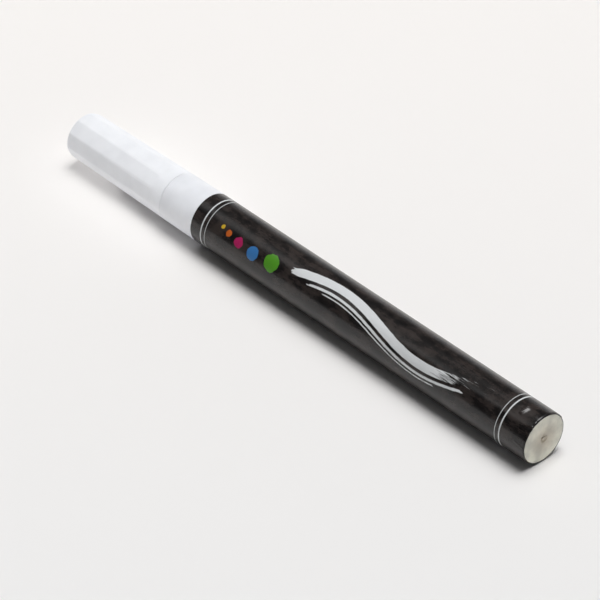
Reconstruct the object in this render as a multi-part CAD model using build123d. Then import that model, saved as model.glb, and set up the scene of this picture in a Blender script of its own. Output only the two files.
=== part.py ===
from build123d import *
from math import cos, pi, sin, sqrt
import os

# Valve-action paint marker, in millimetres. It lies along X with its cap towards -X and its tail towards +X.
# Its lowest line is on Z = 0 and its origin is midway along it. Pieces are turned about the X axis and lifted
# to their height when they are written out.

# Outside of the closed marker
body_diameter = 11.5
cap_length = 30.6
collar_length = 9.9
label_length = 97.5
seam_gap = 0.08

# Film and barrel
film_thickness = 0.15
film_fit = 0.02
barrel_wall = 0.90
barrel_floor = 1.20
barrel_floor_round = 0.80
tail_round = 0.25
gate_radius = 0.90
gate_depth = 0.25

# Cap
mouth_step = 0.03
cap_taper = 0.33
cap_wall = 0.92
cap_end_wall = 1.20
cap_end_round = 0.80
mouth_round = 0.12
mouth_lead = 0.30
facet_count = 10
facet_turn = 40.0
facet_skirt = 2.80
facet_mouth_depth = 0.20
facet_runout_radius = 3.00
ridge_land = 0.25

# Cap liner
liner_wall = 0.75
liner_floor = 0.60
liner_cover = 2.20
liner_clearance = 0.10
liner_flange = 0.70
liner_flange_fit = 0.08
liner_fit = 0.02
liner_end_gap = 0.05
liner_lead = 0.30

# Front section
cap_fit = 0.07
bead_height = 0.16
bead_width = 1.60
bead_place = 2.60
spigot_length = 8.00
spigot_round = 0.40
nose_length = 7.00
nose_wall = 0.75
nose_taper = 0.50
collar_step = 0.04
collar_draft = 0.05
collar_round = 0.15
channel_clearance = 0.25
plug_wall = 0.95
plug_fit = 0.03
plug_lead = 0.50
rib_height = 0.15
rib_width = 0.90
rib_pitch = 2.60
rib_count = 4

# Nib and its guide
nib_diameter = 3.00
nib_length = 22.50
nib_exposed = 4.40
nib_cone_length = 2.40
nib_tip_radius = 1.00
nib_fit = 0.06
guide_wall = 0.85
guide_length = 8.00
guide_fit = 0.02
guide_flange = 0.60
guide_round = 0.25

# Valve
valve_stroke = 2.00
cup_wall = 0.45
cup_depth = 3.00
cup_floor = 1.00
cup_fit = 0.02
stem_shoulder = 1.10
rod_diameter = 1.80
shoulder_clearance = 5.00
seat_length = 4.00
seat_fit = 0.02
seat_gap = 0.90
seat_rim_height = 0.60
gasket_thickness = 0.80
gasket_fit = 0.03
gasket_lip = 0.15
closed_gap = 0.05
head_thickness = 1.20
head_overlap = 0.90
head_chamfer = 0.30
spring_post_length = 2.00

# Spring and its cage
spring_wire = 0.50
spring_mean_diameter = 4.00
spring_length = 9.60
spring_turns = 6
spring_fit = 0.25
spring_end_gap = 0.05
cage_wall = 0.65
cage_floor = 0.90
cage_exposed = 4.10
cage_fit = 0.02
cage_inlet_radius = 1.20
window_count = 4
window_width = 2.20
window_margin = 0.40

# Mixing ball
ball_diameter = 6.00
ball_gap = 0.05
ball_rest = 18.00

# Stations along the axis, from the cap's closed end to the tail
overall_length = cap_length + collar_length + label_length
cap_end_x = -overall_length / 2
seam_x = cap_end_x + cap_length
label_x = seam_x + collar_length
tail_x = label_x + label_length
mouth_x = seam_x - seam_gap
spigot_x = seam_x - spigot_length
nose_x = spigot_x - nose_length
guide_x = nose_x - guide_flange
nib_tip_x = guide_x - nib_exposed
nib_rear_x = nib_tip_x + nib_length
cup_x = nib_rear_x - cup_depth
cup_end_x = nib_rear_x + cup_floor
rod_x = cup_end_x + stem_shoulder
seat_x = rod_x + valve_stroke + shoulder_clearance
gasket_x = seat_x + seat_length
gasket_rear_x = gasket_x + gasket_thickness
head_x = gasket_rear_x + closed_gap
head_rear_x = head_x + head_thickness
cage_x = gasket_x + seat_rim_height
cage_floor_x = head_rear_x + spring_length + 2 * spring_end_gap
cage_rear_x = cage_floor_x + cage_floor
plug_rear_x = cage_rear_x - cage_exposed
barrel_floor_x = tail_x - barrel_floor

# Radii, outside to inside at the barrel and inside to outside at the nib
body_radius = body_diameter / 2
barrel_radius = body_radius - film_thickness - film_fit
bore_radius = barrel_radius - barrel_wall
collar_radius = body_radius - collar_step
collar_front_radius = collar_radius - collar_draft
mouth_radius = collar_front_radius - mouth_step
cap_end_radius = mouth_radius - cap_taper
cap_bore = mouth_radius - cap_wall
bead_radius = cap_bore - cap_fit
spigot_radius = bead_radius - bead_height
rib_radius = bore_radius - plug_fit
plug_radius = rib_radius - rib_height
valve_bore = plug_radius - plug_wall
nib_radius = nib_diameter / 2
guide_bore = nib_radius + nib_fit
guide_radius = guide_bore + guide_wall
guide_pocket = guide_radius + guide_fit
nose_radius = guide_pocket + nose_wall
nose_base_radius = nose_radius + nose_taper
cup_bore = nib_radius + cup_fit
cup_radius = cup_bore + cup_wall
channel_radius = cup_radius + channel_clearance
rod_radius = rod_diameter / 2
seat_radius = valve_bore - seat_fit
seat_bore = rod_radius + seat_gap / 2
gasket_bore = seat_bore + gasket_lip
head_radius = gasket_bore + head_overlap
spring_mean_radius = spring_mean_diameter / 2
spring_post_radius = spring_mean_radius - spring_wire / 2 - spring_fit
cage_radius = valve_bore - cage_fit
cage_bore = cage_radius - cage_wall
gasket_radius = cage_bore - gasket_fit
liner_bore = nose_radius + nose_taper * liner_cover / nose_length + liner_clearance
liner_radius = liner_bore + liner_wall
liner_pocket = liner_radius + liner_fit
ball_radius = ball_diameter / 2

# Places inside the cap, which follow from the nose and from the cap's end wall
liner_mouth_x = nose_x + liner_cover
liner_step_x = liner_mouth_x - liner_flange
cap_floor_x = cap_end_x + cap_end_wall
liner_end_x = cap_floor_x + liner_end_gap
liner_floor_x = liner_end_x + liner_floor

# Working allowances: how far a cutting shape passes its wall, and how deep a ring is rooted in its wall
beyond = 1.0
rooted = 0.1
axis_height = body_radius


def turned(*corners):
    """Solid turned about X from (station, radius) corners; a third number rounds that corner."""
    face = make_face(Polyline(*[corner[:2] for corner in corners], close=True))
    for corner in corners:
        if len(corner) == 3:
            point = Vector(corner[0], corner[1])
            face = fillet(face.vertices().sort_by_distance(point)[0], corner[2])
    return revolve(face, Axis.X)


def around(shape, count):
    """Copies of a shape at even turns about the marker's axis."""
    return [Rot(X=360 * turn / count) * shape for turn in range(count)]


def facet_cutter():
    """Wedge that mills one tapering flat on the cap's upper side and runs out in an arc before the mouth."""
    taper_per_mm = cap_taper / cap_length
    skirt_radius = mouth_radius - taper_per_mm * facet_skirt
    arc_run = sqrt(facet_runout_radius**2 - (facet_runout_radius - facet_mouth_depth) ** 2)
    runout_x = mouth_x - facet_skirt - arc_run
    runout_radius = skirt_radius - facet_mouth_depth
    half_angle = pi / facet_count - ridge_land / (2 * cap_end_radius)
    end_radius = cap_end_radius * cos(half_angle)
    rise = (runout_radius - end_radius) / (runout_x - cap_end_x)
    start = Vector(cap_end_x - beyond, end_radius - rise * beyond)
    bend = Vector(runout_x, runout_radius)
    arc_angle = pi / 4
    arc_end = bend + Vector(sin(arc_angle), 1 - cos(arc_angle)) * facet_runout_radius
    top = mouth_radius + facet_runout_radius
    flat = Line(start, bend)
    arc = TangentArc(bend, arc_end, tangent=Vector(1, rise))
    back = Polyline(arc_end, (arc_end.X, top), (start.X, top), start)
    return extrude(make_face([flat, arc, back]), amount=mouth_radius * sin(pi / facet_count) * 2, both=True)


def cap_shell():
    """Cap: a tapering shell with flats and a round skirt, bored for the spigot and for the liner."""
    outside = turned(
        (cap_end_x, 0),
        (cap_end_x, cap_end_radius, cap_end_round),
        (mouth_x, mouth_radius, mouth_round),
        (mouth_x, 0),
    )
    hollow = turned(
        (cap_floor_x, 0),
        (cap_floor_x, liner_pocket),
        (liner_step_x, liner_pocket),
        (liner_step_x, cap_bore),
        (mouth_x - mouth_lead, cap_bore),
        (mouth_x, cap_bore + mouth_lead),
        (mouth_x + beyond, cap_bore + mouth_lead),
        (mouth_x + beyond, 0),
    )
    turned_up = Rot(X=90 + facet_turn) * facet_cutter()
    return outside - around(turned_up, facet_count) - hollow


def cap_liner():
    """Inner cup that is pressed into the cap against its step and closes round the nose."""
    return turned(
        (liner_end_x, 0),
        (liner_end_x, liner_radius, liner_lead),
        (liner_step_x, liner_radius),
        (liner_step_x, cap_bore - liner_flange_fit),
        (liner_mouth_x, cap_bore - liner_flange_fit),
        (liner_mouth_x, liner_bore + liner_lead),
        (liner_mouth_x - liner_lead, liner_bore),
        (liner_floor_x, liner_bore, liner_lead),
        (liner_floor_x, 0),
    )


def ring_bead(centre_x, width, root_radius, crest_radius):
    """Ring with trapezoid section whose sloped flanks take up a third of its width each."""
    return turned(
        (centre_x - width / 2, root_radius - rooted),
        (centre_x - width / 2, root_radius),
        (centre_x - width / 6, crest_radius),
        (centre_x + width / 6, crest_radius),
        (centre_x + width / 2, root_radius),
        (centre_x + width / 2, root_radius - rooted),
    )


def front_section():
    """Collar moulding: nose, spigot with its grip bead, visible collar and ribbed plug, bored through."""
    outside = turned(
        (nose_x, 0),
        (nose_x, nose_radius),
        (spigot_x, nose_base_radius),
        (spigot_x, spigot_radius, spigot_round),
        (seam_x, spigot_radius),
        (seam_x, collar_front_radius, collar_round),
        (label_x, collar_radius),
        (label_x, plug_radius),
        (plug_rear_x - plug_lead, plug_radius),
        (plug_rear_x, plug_radius - plug_lead / 2),
        (plug_rear_x, 0),
    )
    bore = turned(
        (nose_x - beyond, 0),
        (nose_x - beyond, guide_pocket),
        (nose_x + guide_length + guide_fit, guide_pocket),
        (nose_x + guide_length + guide_fit, channel_radius),
        (seat_x, channel_radius),
        (seat_x, valve_bore),
        (plug_rear_x + beyond, valve_bore),
        (plug_rear_x + beyond, 0),
    )
    bead = ring_bead(seam_x - bead_place, bead_width, spigot_radius, bead_radius)
    first_rib_x = label_x + rib_pitch / 2
    ribs = [
        ring_bead(first_rib_x + index * rib_pitch, rib_width, plug_radius, rib_radius)
        for index in range(rib_count)
    ]
    return outside + bead + ribs - bore


def nib_guide():
    """Flanged bush in the nose that the nib slides in."""
    return turned(
        (guide_x, guide_bore),
        (guide_x, nose_radius, guide_round),
        (nose_x, nose_radius),
        (nose_x, guide_radius),
        (nose_x + guide_length, guide_radius),
        (nose_x + guide_length, guide_bore),
    )


def nib():
    """Fibre rod with a bullet tip for a two-millimetre line."""
    return turned(
        (nib_tip_x, 0),
        (nib_tip_x, nib_tip_radius, nib_tip_radius / 2),
        (nib_tip_x + nib_cone_length, nib_radius, nib_radius),
        (nib_rear_x, nib_radius),
        (nib_rear_x, 0),
    )


def valve_stem():
    """Plunger: a cup for the nib's rear end, a rod through the seat, the valve head and the spring's post."""
    return turned(
        (cup_x, cup_bore),
        (cup_x, cup_radius),
        (cup_end_x, cup_radius),
        (rod_x, rod_radius),
        (head_x, rod_radius),
        (head_x, head_radius - head_chamfer),
        (head_x + head_chamfer, head_radius),
        (head_rear_x, head_radius),
        (head_rear_x, spring_post_radius),
        (head_rear_x + spring_post_length, spring_post_radius, spring_post_radius / 3),
        (head_rear_x + spring_post_length, 0),
        (nib_rear_x, 0),
        (nib_rear_x, cup_bore),
    )


def valve_seat():
    """Seat ring on the shoulder of the front section's bore, with a rim that centres the gasket."""
    return turned(
        (seat_x, seat_bore),
        (seat_x, seat_radius),
        (cage_x, seat_radius),
        (cage_x, cage_bore),
        (gasket_x, cage_bore),
        (gasket_x, seat_bore),
    )


def seat_gasket():
    """Rubber washer on the seat, inside its rim."""
    return turned(
        (gasket_x, gasket_bore),
        (gasket_x, gasket_radius),
        (gasket_rear_x, gasket_radius),
        (gasket_rear_x, gasket_bore),
    )


def helix_point(turns):
    """Point and unit tangent on the spring's centre line after a number of turns."""
    first_x = head_rear_x + spring_end_gap + spring_wire / 2
    pitch = (spring_length - spring_wire) / spring_turns
    angle = 2 * pi * turns
    point = Vector(first_x + pitch * turns, spring_mean_radius * cos(angle), spring_mean_radius * sin(angle))
    along = Vector(pitch / (2 * pi), -spring_mean_radius * sin(angle), spring_mean_radius * cos(angle))
    return point, along.normalized()


def biarc(start, leave, end, arrive):
    """Two arcs with one tangent where they meet, from one point and direction to another."""
    span = end - start
    both = leave + arrive
    square = 2 * (1 - leave.dot(arrive))
    linear = span.dot(both)
    reach = (sqrt(linear**2 + square * span.dot(span)) - linear) / square
    meet = (start + leave * reach + end - arrive * reach) * 0.5
    first = TangentArc(start, meet, tangent=leave)
    return [first, TangentArc(meet, end, tangent=first % 1)]


def valve_spring():
    """Compression spring as one unbroken wire, swept along half turns of a helix."""
    arcs = []
    for half_turn in range(2 * spring_turns):
        here = helix_point(half_turn / 2)
        after = helix_point((half_turn + 1) / 2)
        arcs += biarc(*here, *after)
    path = Wire(arcs)
    start, leave = helix_point(0)
    section = Plane(start, z_dir=leave) * Circle(spring_wire / 2)
    steps_per_turn = 40
    steps = steps_per_turn * spring_turns
    points = [path @ (index / steps) for index in range(steps + 1)]
    nearest = min(
        (points[first] - points[second]).length
        for first in range(len(points))
        for second in range(first + steps_per_turn // 2, len(points))
    )
    print("valve spring: least gap to itself", round(nearest - spring_wire, 3), "mm")
    return sweep(section, path)


def spring_cage():
    """Cage behind the seat that holds the spring; paint comes in through its side windows and rear inlet."""
    cage = turned(
        (cage_x, cage_bore),
        (cage_x, cage_radius),
        (cage_rear_x, cage_radius, cage_floor / 2),
        (cage_rear_x, cage_inlet_radius),
        (cage_floor_x, cage_inlet_radius),
        (cage_floor_x, cage_bore),
    )
    window_length = cage_floor_x - plug_rear_x - 2 * window_margin
    window_centre = (cage_floor_x + plug_rear_x) / 2
    window = Pos(window_centre, 0, cage_radius) * Box(window_length, window_width, 2 * cage_wall + beyond)
    return cage - around(window, window_count)


def barrel():
    """Paint tube with a closed floor, whose outside is the tail face with a small gate mark."""
    return turned(
        (label_x, bore_radius),
        (label_x, barrel_radius),
        (tail_x, barrel_radius, tail_round),
        (tail_x, gate_radius),
        (tail_x - gate_depth, gate_radius - gate_depth),
        (tail_x - gate_depth, 0),
        (barrel_floor_x, 0),
        (barrel_floor_x, bore_radius, barrel_floor_round),
    )


def label_sleeve():
    """Shrink film round the barrel, up to the start of the tail's rounded edge."""
    film_end_x = tail_x - tail_round
    return turned(
        (label_x, body_radius - film_thickness),
        (label_x, body_radius),
        (film_end_x, body_radius),
        (film_end_x, body_radius - film_thickness),
    )


def mixing_ball():
    """Loose ball on the lowest line of the barrel's bore."""
    return Pos(barrel_floor_x - ball_rest, 0, ball_radius + ball_gap - bore_radius) * Sphere(ball_radius)


pieces = [
    cap_shell,
    cap_liner,
    front_section,
    nib_guide,
    nib,
    valve_stem,
    valve_seat,
    seat_gasket,
    valve_spring,
    spring_cage,
    barrel,
    label_sleeve,
    mixing_ball,
]

os.makedirs("parts", exist_ok=True)
for piece in pieces:
    export_step(Pos(0, 0, axis_height) * piece(), f"parts/{piece.__name__}.step")
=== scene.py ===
"""Looks of a valve-action paint marker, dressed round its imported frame.

Sizes are in millimetres until they go into a mesh. The marker lies along X with its cap towards -X.
Angles go round its axis from straight up towards -Y, the side that the camera sees.
"""

import logging
from dataclasses import dataclass
from enum import Enum
from math import cos, pi, radians, sin
from typing import Callable

import bpy
import numpy as np
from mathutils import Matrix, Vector


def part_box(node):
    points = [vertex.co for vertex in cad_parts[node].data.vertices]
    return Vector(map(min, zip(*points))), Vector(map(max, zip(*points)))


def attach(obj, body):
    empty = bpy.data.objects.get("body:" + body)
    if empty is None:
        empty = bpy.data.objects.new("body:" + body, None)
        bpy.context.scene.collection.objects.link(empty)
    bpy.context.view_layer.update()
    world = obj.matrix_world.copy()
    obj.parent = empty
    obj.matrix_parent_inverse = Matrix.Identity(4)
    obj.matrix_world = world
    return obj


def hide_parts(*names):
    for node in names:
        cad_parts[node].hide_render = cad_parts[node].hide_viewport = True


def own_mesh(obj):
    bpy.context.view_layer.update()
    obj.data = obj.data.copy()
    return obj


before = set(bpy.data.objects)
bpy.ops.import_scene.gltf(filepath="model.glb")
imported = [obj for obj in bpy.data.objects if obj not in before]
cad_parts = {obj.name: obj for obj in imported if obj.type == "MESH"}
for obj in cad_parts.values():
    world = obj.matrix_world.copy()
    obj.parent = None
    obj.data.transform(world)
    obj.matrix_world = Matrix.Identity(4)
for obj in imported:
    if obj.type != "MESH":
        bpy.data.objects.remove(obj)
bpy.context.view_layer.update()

LOG = logging.getLogger("paint_marker")
MM = 0.001
NOISE_MIDDLE = 0.5
SHARP_ANGLE = radians(32)
THIN_PALE_WALLS = ("cap_shell_moulding", "cap_liner_cup")
WHITE_PIECES = (*THIN_PALE_WALLS, "front_moulding", "nib_guide_bush", "nib_fibre_rod")

Colour = tuple[float, float, float]
Corner = tuple[float, ...]
Limits = tuple[float, float]
Shape = Callable[[np.ndarray, np.ndarray, np.ndarray], np.ndarray]


class Body(Enum):
    """Bodies of the frame that new pieces ride on."""

    MARKER = "marker_body"
    CAP = "cap"
    NIB = "nib_and_stem"


class Ink(Enum):
    """Inks of the film's print, as linear colours."""

    WHITE = (0.74, 0.76, 0.77)
    BLUE = (0.045, 0.185, 0.46)
    MAGENTA = (0.42, 0.018, 0.11)
    GREEN = (0.085, 0.30, 0.022)
    ORANGE = (0.55, 0.12, 0.02)
    YELLOW = (0.62, 0.40, 0.03)


@dataclass(frozen=True)
class Span:
    """Where a node of the frame lies along the marker and how far it reaches from the axis."""

    start: float
    end: float
    radius: float

    @classmethod
    def of(cls, node: str) -> "Span":
        """Span of a node, from its box."""
        low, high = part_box(node)
        return cls(low.x / MM, high.x / MM, (high.y - low.y) / 2 / MM)


FILM_SPAN = Span.of("label_sleeve")
AXIS_HEIGHT = FILM_SPAN.radius
PRINT_FRONT = radians(40.7)


@dataclass
class Surface:
    """Closed surface made of rows of points that go round, in millimetres.

    Attributes:
        points: Grid of rows x columns x 3.
        wrap: Grid of rows x (columns + 1) x 2 UV values, whose last column closes the turn.
        poles: The two points that close the ends, or None where the last row joins the first.
    """

    points: np.ndarray
    wrap: np.ndarray
    poles: np.ndarray | None = None

    def quads(self) -> tuple[np.ndarray, np.ndarray]:
        """Join neighbouring rows and columns.

        Returns:
            The corner numbers of each quad and the UV of each corner.
        """
        rows, columns = self.points.shape[:2]
        strips = rows if self.poles is None else rows - 1
        row, column = np.meshgrid(np.arange(strips), np.arange(columns), indexing="ij")
        below = (row + 1) % rows
        here, beside = (column, column), ((column + 1) % columns, column + 1)
        corners = [(row, *here), (row, *beside), (below, *beside), (below, *here)]
        faces = np.stack([r * columns + c for r, c, _ in corners], axis=-1)
        wrap = np.stack([self.wrap[r, w] for r, _, w in corners], axis=-2)
        return faces.reshape(-1, 4), wrap.reshape(-1, 4, 2)

    def fans(self) -> tuple[np.ndarray, np.ndarray]:
        """Join the first and last rows to the poles.

        Returns:
            The corner numbers of each triangle and the UV of each corner.
        """
        rows, columns = self.points.shape[:2]
        column = np.arange(columns)
        beside = (column + 1) % columns
        base = (rows - 1) * columns
        pole = np.full(columns, rows * columns)
        first = np.stack([pole, beside, column], axis=-1)
        last = np.stack([pole + 1, base + column, base + beside], axis=-1)
        head, tail = self.wrap[0], self.wrap[-1]
        head_wrap = np.stack([(head[1:] + head[:-1]) / 2, head[1:], head[:-1]], axis=1)
        tail_wrap = np.stack([(tail[1:] + tail[:-1]) / 2, tail[:-1], tail[1:]], axis=1)
        return np.vstack([first, last]), np.vstack([head_wrap, tail_wrap])

    def mesh(self, name: str) -> bpy.types.Mesh:
        """Put the surface into a mesh in metres, with its faces outwards.

        The sum over the faces of a . (b x c), a and b and c being corners, is six times the enclosed volume.
        Where it comes out negative, every face is turned round.

        Args:
            name: Name of the mesh.

        Returns:
            A smooth-shaded mesh with sharp edges at its sharp corners and a UV map named wrap.
        """
        vertices = self.points.reshape(-1, 3)
        groups = [self.quads()]
        if self.poles is not None:
            vertices = np.vstack([vertices, self.poles])
            groups.append(self.fans())
        volume = 0.0
        for faces, _ in groups:
            corner = vertices[faces]
            for k in range(1, faces.shape[1] - 1):
                volume += np.einsum("ij,ij->", corner[:, 0], np.cross(corner[:, k], corner[:, k + 1]))
        order = 1 if volume > 0 else -1
        made = bpy.data.meshes.new(name)
        all_faces = [face for faces, _ in groups for face in faces[:, ::order].tolist()]
        made.from_pydata((vertices * MM).tolist(), [], all_faces)
        layer = made.uv_layers.new(name="wrap")
        layer.data.foreach_set("uv", np.concatenate([wrap[:, ::order].ravel() for _, wrap in groups]))
        made.shade_smooth()
        made.set_sharp_from_angle(angle=SHARP_ANGLE)
        made.update()
        return made


def outline(*corners: Corner, closed: bool = False, steps: int = 7, hold: float = 0.2) -> np.ndarray:
    """Profile through (station, radius) corners, where a third number rounds the corner.

    A round corner becomes an arc that touches both of its runs. Its centre is on the corner's bisector, its
    radius divided by the sine of half the angle away. A point on each run, a little way from the arc, keeps
    the shading of the run flat.

    Args:
        corners: The corners in order.
        closed: Whether the last corner runs on to the first.
        steps: Points on each arc.
        hold: How far from its arc a run's extra point is.

    Returns:
        Points x 2 array of stations and radii.
    """
    parts: list[np.ndarray] = []
    for index, corner in enumerate(corners):
        here = np.array(corner[:2])
        ends = not closed and index in (0, len(corners) - 1)
        if ends or len(corner) == 2:
            parts.append(here[None])
            continue
        toward = [np.array(corners[(index + step) % len(corners)][:2]) - here for step in (-1, 1)]
        lengths = [np.linalg.norm(run) for run in toward]
        before, after = (run / length for run, length in zip(toward, lengths))
        half = np.arccos(np.clip(before @ after, -1, 1)) / 2
        touch = corner[2] / np.tan(half)
        centre = here + (before + after) / np.linalg.norm(before + after) * corner[2] / np.sin(half)
        first, last = here + before * touch - centre, here + after * touch - centre
        sweep = pi - 2 * half
        share = np.linspace(0, 1, steps)[:, None]
        arc = centre + (np.sin((1 - share) * sweep) * first + np.sin(share * sweep) * last) / np.sin(sweep)
        extra = [min(hold, (length - touch) / 3) for length in lengths]
        parts += [arc[:1] + before * extra[0], arc, arc[-1:] + after * extra[1]]
    return np.vstack(parts)


def finer(profile: np.ndarray, step: float | np.ndarray) -> np.ndarray:
    """Profile with points added evenly along its runs.

    Each run is cut into equal parts of at most a step, by linear interpolation over the length so far.

    Args:
        profile: Points x 2 array.
        step: Longest run that stays whole, for all runs or for each.

    Returns:
        Points x 2 array that holds the old points too.
    """
    lengths = np.linalg.norm(np.diff(profile, axis=0), axis=1)
    counts = np.maximum(1, np.ceil(lengths / step)).astype(int)
    run = np.repeat(np.arange(len(counts)), counts)
    part = np.arange(len(run)) - np.repeat(np.cumsum(counts) - counts, counts)
    share = (part / counts[run])[:, None]
    inner = profile[run] * (1 - share) + profile[run + 1] * share
    return np.vstack([inner, profile[-1:]])


def turned(
    profile: np.ndarray, columns: int = 180, start: float = 0.0, shape: Shape | None = None
) -> Surface:
    """Surface of a profile turned about the marker's axis.

    A profile point at station x and radius r goes to (x, -r sin a, h + r cos a) for every angle a, where h is
    the height of the axis. A profile that begins and ends on the axis gets poles. Any other is a closed loop.

    Args:
        profile: Points x 2 array of stations and radii.
        columns: Number of angles in the turn.
        start: First angle.
        shape: Gives the radius from the station, the profile's radius and the angle, where it isn't round.

    Returns:
        The surface, with (station, angle) as its UV.
    """
    poled = profile[0, 1] == 0 and profile[-1, 1] == 0
    rows = profile[1:-1] if poled else profile
    angles = start + np.linspace(0, 2 * pi, columns + 1)
    x, angle = np.meshgrid(rows[:, 0], angles, indexing="ij")
    r = np.broadcast_to(rows[:, 1:2], x.shape)
    if shape is not None:
        r = shape(x, r, angle)
    points = np.stack([x, -r * np.sin(angle), AXIS_HEIGHT + r * np.cos(angle)], axis=-1)
    poles = None
    if poled:
        poles = np.array([[profile[end, 0], 0.0, AXIS_HEIGHT] for end in (0, -1)])
    return Surface(points[:, :-1], np.stack([x, angle], axis=-1), poles)


class Field:
    """A number that varies over a surface. Arithmetic on it adds Math nodes to its shader."""

    def __init__(self, shader: "Shader", socket: bpy.types.NodeSocket) -> None:
        """Hold an output socket of a shader's tree."""
        self.shader = shader
        self.socket = socket

    def math(self, operation: str, *others: "Field | float") -> "Field":
        """Result of a Math node on this number and others.

        Args:
            operation: Blender's name of the operation.
            others: The operation's other operands.

        Returns:
            The node's output.
        """
        node = self.shader.node("ShaderNodeMath", operation=operation)
        for operand, entry in zip((self, *others), node.inputs):
            self.shader.feed(entry, operand)
        return Field(self.shader, node.outputs[0])

    def __add__(self, other: "Field | float") -> "Field":
        """Sum."""
        return self.math("ADD", other)

    def __sub__(self, other: "Field | float") -> "Field":
        """Difference."""
        return self.math("SUBTRACT", other)

    def __mul__(self, other: "Field | float") -> "Field":
        """Product."""
        return self.math("MULTIPLY", other)

    def __abs__(self) -> "Field":
        """Size without its sign."""
        return self.math("ABSOLUTE")

    def rise(self, low: "Field | float", high: "Field | float") -> "Field":
        """Smooth step from 0 where the number is at low to 1 where it is at high."""
        node = self.shader.node("ShaderNodeMapRange", interpolation_type="SMOOTHSTEP")
        for entry, value in zip(node.inputs, (self, low, high)):
            self.shader.feed(entry, value)
        return Field(self.shader, node.outputs[0])


@dataclass(frozen=True)
class Noise:
    """Cloudy noise about its middle value.

    Attributes:
        size: Width of its largest patches.
        layers: Number of finer layers.
        weight: Weight of the finer layers.
        stretch: Factors on its coordinates. A small one draws it out.
    """

    size: float
    layers: float = 2.0
    weight: float = 0.5
    stretch: tuple[float, float, float] = (1.0, 1.0, 1.0)


class Shader:
    """Node tree of a finish or of the room, which ends in one shader node."""

    def __init__(self, owner: bpy.types.Material | bpy.types.World, kind: str, output: str) -> None:
        """Empty the owner's tree but for its shader and its output.

        Args:
            owner: The material or the world.
            kind: Blender's name of the shader node.
            output: Blender's name of the output node.
        """
        owner.use_nodes = True
        self.owner = owner
        self.tree = owner.node_tree
        self.tree.nodes.clear()
        self.surface = self.node(kind)
        self.feed(self.node(output).inputs["Surface"], self.surface.outputs[0])

    @classmethod
    def of_finish(cls, name: str) -> "Shader":
        """Start a material that ends in a Principled shader."""
        return cls(bpy.data.materials.new(name), "ShaderNodeBsdfPrincipled", "ShaderNodeOutputMaterial")

    def node(self, kind: str, **settings: object) -> bpy.types.Node:
        """Add a node and set its properties."""
        made = self.tree.nodes.new(kind)
        for name, value in settings.items():
            setattr(made, name, value)
        return made

    def feed(self, entry: bpy.types.NodeSocket, value: object) -> None:
        """Link a field or socket to an input, or set the input to a constant."""
        if isinstance(value, Field):
            value = value.socket
        if isinstance(value, bpy.types.NodeSocket):
            self.tree.links.new(value, entry)
        elif isinstance(value, tuple) and entry.type == "RGBA":
            entry.default_value = (*value, 1.0)
        else:
            entry.default_value = value

    def set(self, **inputs: object) -> None:
        """Feed the shader node's inputs, named in small letters with underscores."""
        for name, value in inputs.items():
            entry = next(e for e in self.surface.inputs if e.name.lower().replace(" ", "_") == name)
            self.feed(entry, value)

    def place(self, stretch: tuple[float, float, float] = (1.0, 1.0, 1.0)) -> bpy.types.NodeSocket:
        """Object coordinates in millimetres, stretched along X, Y and Z."""
        mapping = self.node("ShaderNodeMapping")
        mapping.inputs["Scale"].default_value = tuple(part / MM for part in stretch)
        self.feed(mapping.inputs["Vector"], self.node("ShaderNodeTexCoord").outputs["Object"])
        return mapping.outputs[0]

    def split(self, vector: bpy.types.NodeSocket) -> tuple[Field, Field, Field]:
        """The three numbers of a vector."""
        node = self.node("ShaderNodeSeparateXYZ")
        self.feed(node.inputs[0], vector)
        x, y, z = (Field(self, part) for part in node.outputs)
        return x, y, z

    def wrap(self) -> tuple[Field, Field]:
        """The two numbers of the piece's own UV map."""
        along, across, _ = self.split(self.node("ShaderNodeUVMap", uv_map="wrap").outputs[0])
        return along, across

    def off_axis(self) -> Field:
        """Distance from the marker's axis in millimetres."""
        _, y, z = self.split(self.place())
        z = z - AXIS_HEIGHT
        return (y * y + z * z).math("SQRT")

    def vector(self, x: Field, y: Field) -> bpy.types.NodeSocket:
        """Vector of two fields."""
        node = self.node("ShaderNodeCombineXYZ")
        self.feed(node.inputs[0], x)
        self.feed(node.inputs[1], y)
        return node.outputs[0]

    def noise(self, noise: Noise, at: bpy.types.NodeSocket | None = None) -> Field:
        """Values of a noise.

        Args:
            noise: The noise.
            at: Coordinates in millimetres, or None for the stretched Object coordinates.

        Returns:
            The values.
        """
        if at is None:
            at = self.place(noise.stretch)
        node = self.node("ShaderNodeTexNoise")
        self.feed(node.inputs["Vector"], at)
        self.feed(node.inputs["Scale"], 1 / noise.size)
        self.feed(node.inputs["Detail"], noise.layers)
        self.feed(node.inputs["Roughness"], noise.weight)
        return Field(self, node.outputs[0])

    def mix(self, share: Field, low: object, high: object) -> bpy.types.NodeSocket:
        """Colour that goes from low to high as share goes from 0 to 1."""
        node = self.node("ShaderNodeMix", data_type="RGBA")
        self.feed(node.inputs["Factor"], share)
        self.feed(next(e for e in node.inputs if e.identifier == "A_Color"), low)
        self.feed(next(e for e in node.inputs if e.identifier == "B_Color"), high)
        return next(e for e in node.outputs if e.identifier == "Result_Color")

    def emboss(self, height: Field, depth: float) -> None:
        """Bump of the surface: a height of 1 stands the given depth proud."""
        node = self.node("ShaderNodeBump")
        self.feed(node.inputs["Height"], height)
        self.feed(node.inputs["Distance"], depth * MM)
        self.set(normal=node.outputs[0])


def shade(colour: Colour, factor: float) -> Colour:
    """A colour made lighter or darker by a factor."""
    return tuple(min(1.0, part * factor) for part in colour)


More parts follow.
